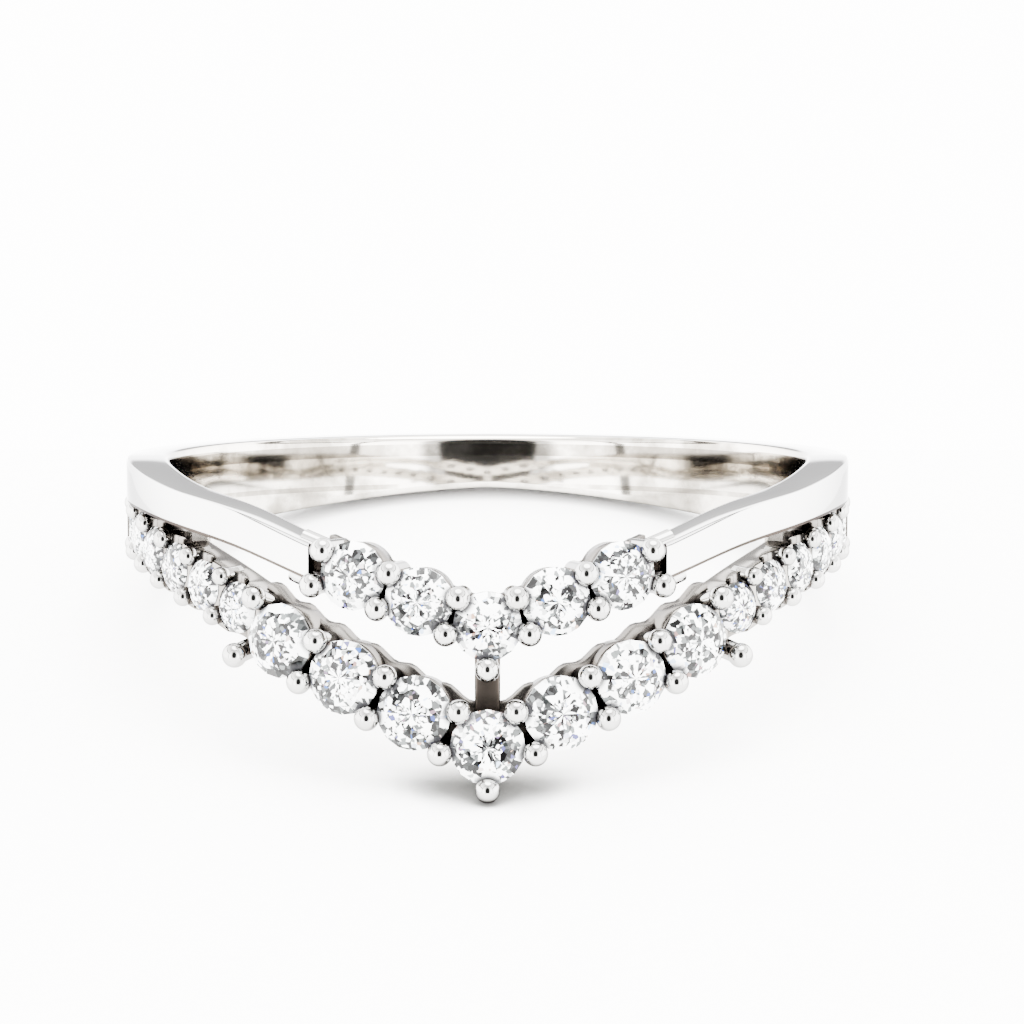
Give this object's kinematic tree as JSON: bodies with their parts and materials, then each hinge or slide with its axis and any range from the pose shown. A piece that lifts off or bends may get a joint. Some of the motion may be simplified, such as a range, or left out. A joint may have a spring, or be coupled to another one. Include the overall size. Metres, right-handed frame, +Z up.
{
  "type": "chevron ring",
  "caption": "Finger ring of polished white metal with a double chevron of round brilliant stones, plain polished arms and stone-set shoulders.",
  "frame": {"origin": "bottom centre of the bounding box of the ring as it lies on its side", "axes": "+Z up from the surface it lies on, -Y towards the points of the chevrons, +X to the right as seen from the front"},
  "size_m": [0.0194, 0.0212, 0.006],
  "materials": {
    "metal": "polished",
    "stone": "polished"
  },
  "bodies": {
    "root": {"band": "metal", "upper_stone_1": "stone", "upper_stone_2": "stone", "upper_stone_3": "stone", "upper_stone_4": "stone", "upper_stone_5": "stone", "lower_stone_1": "stone", "lower_stone_2": "stone", "lower_stone_3": "stone", "lower_stone_4": "stone", "lower_stone_5": "stone", "lower_stone_6": "stone", "lower_stone_7": "stone", "accent_left_1": "stone", "accent_left_2": "stone", "accent_left_3": "stone", "accent_left_4": "stone", "accent_left_5": "stone", "accent_left_6": "stone", "accent_right_1": "stone", "accent_right_2": "stone", "accent_right_3": "stone", "accent_right_4": "stone", "accent_right_5": "stone", "accent_right_6": "stone"}
  },
  "joints": []
}
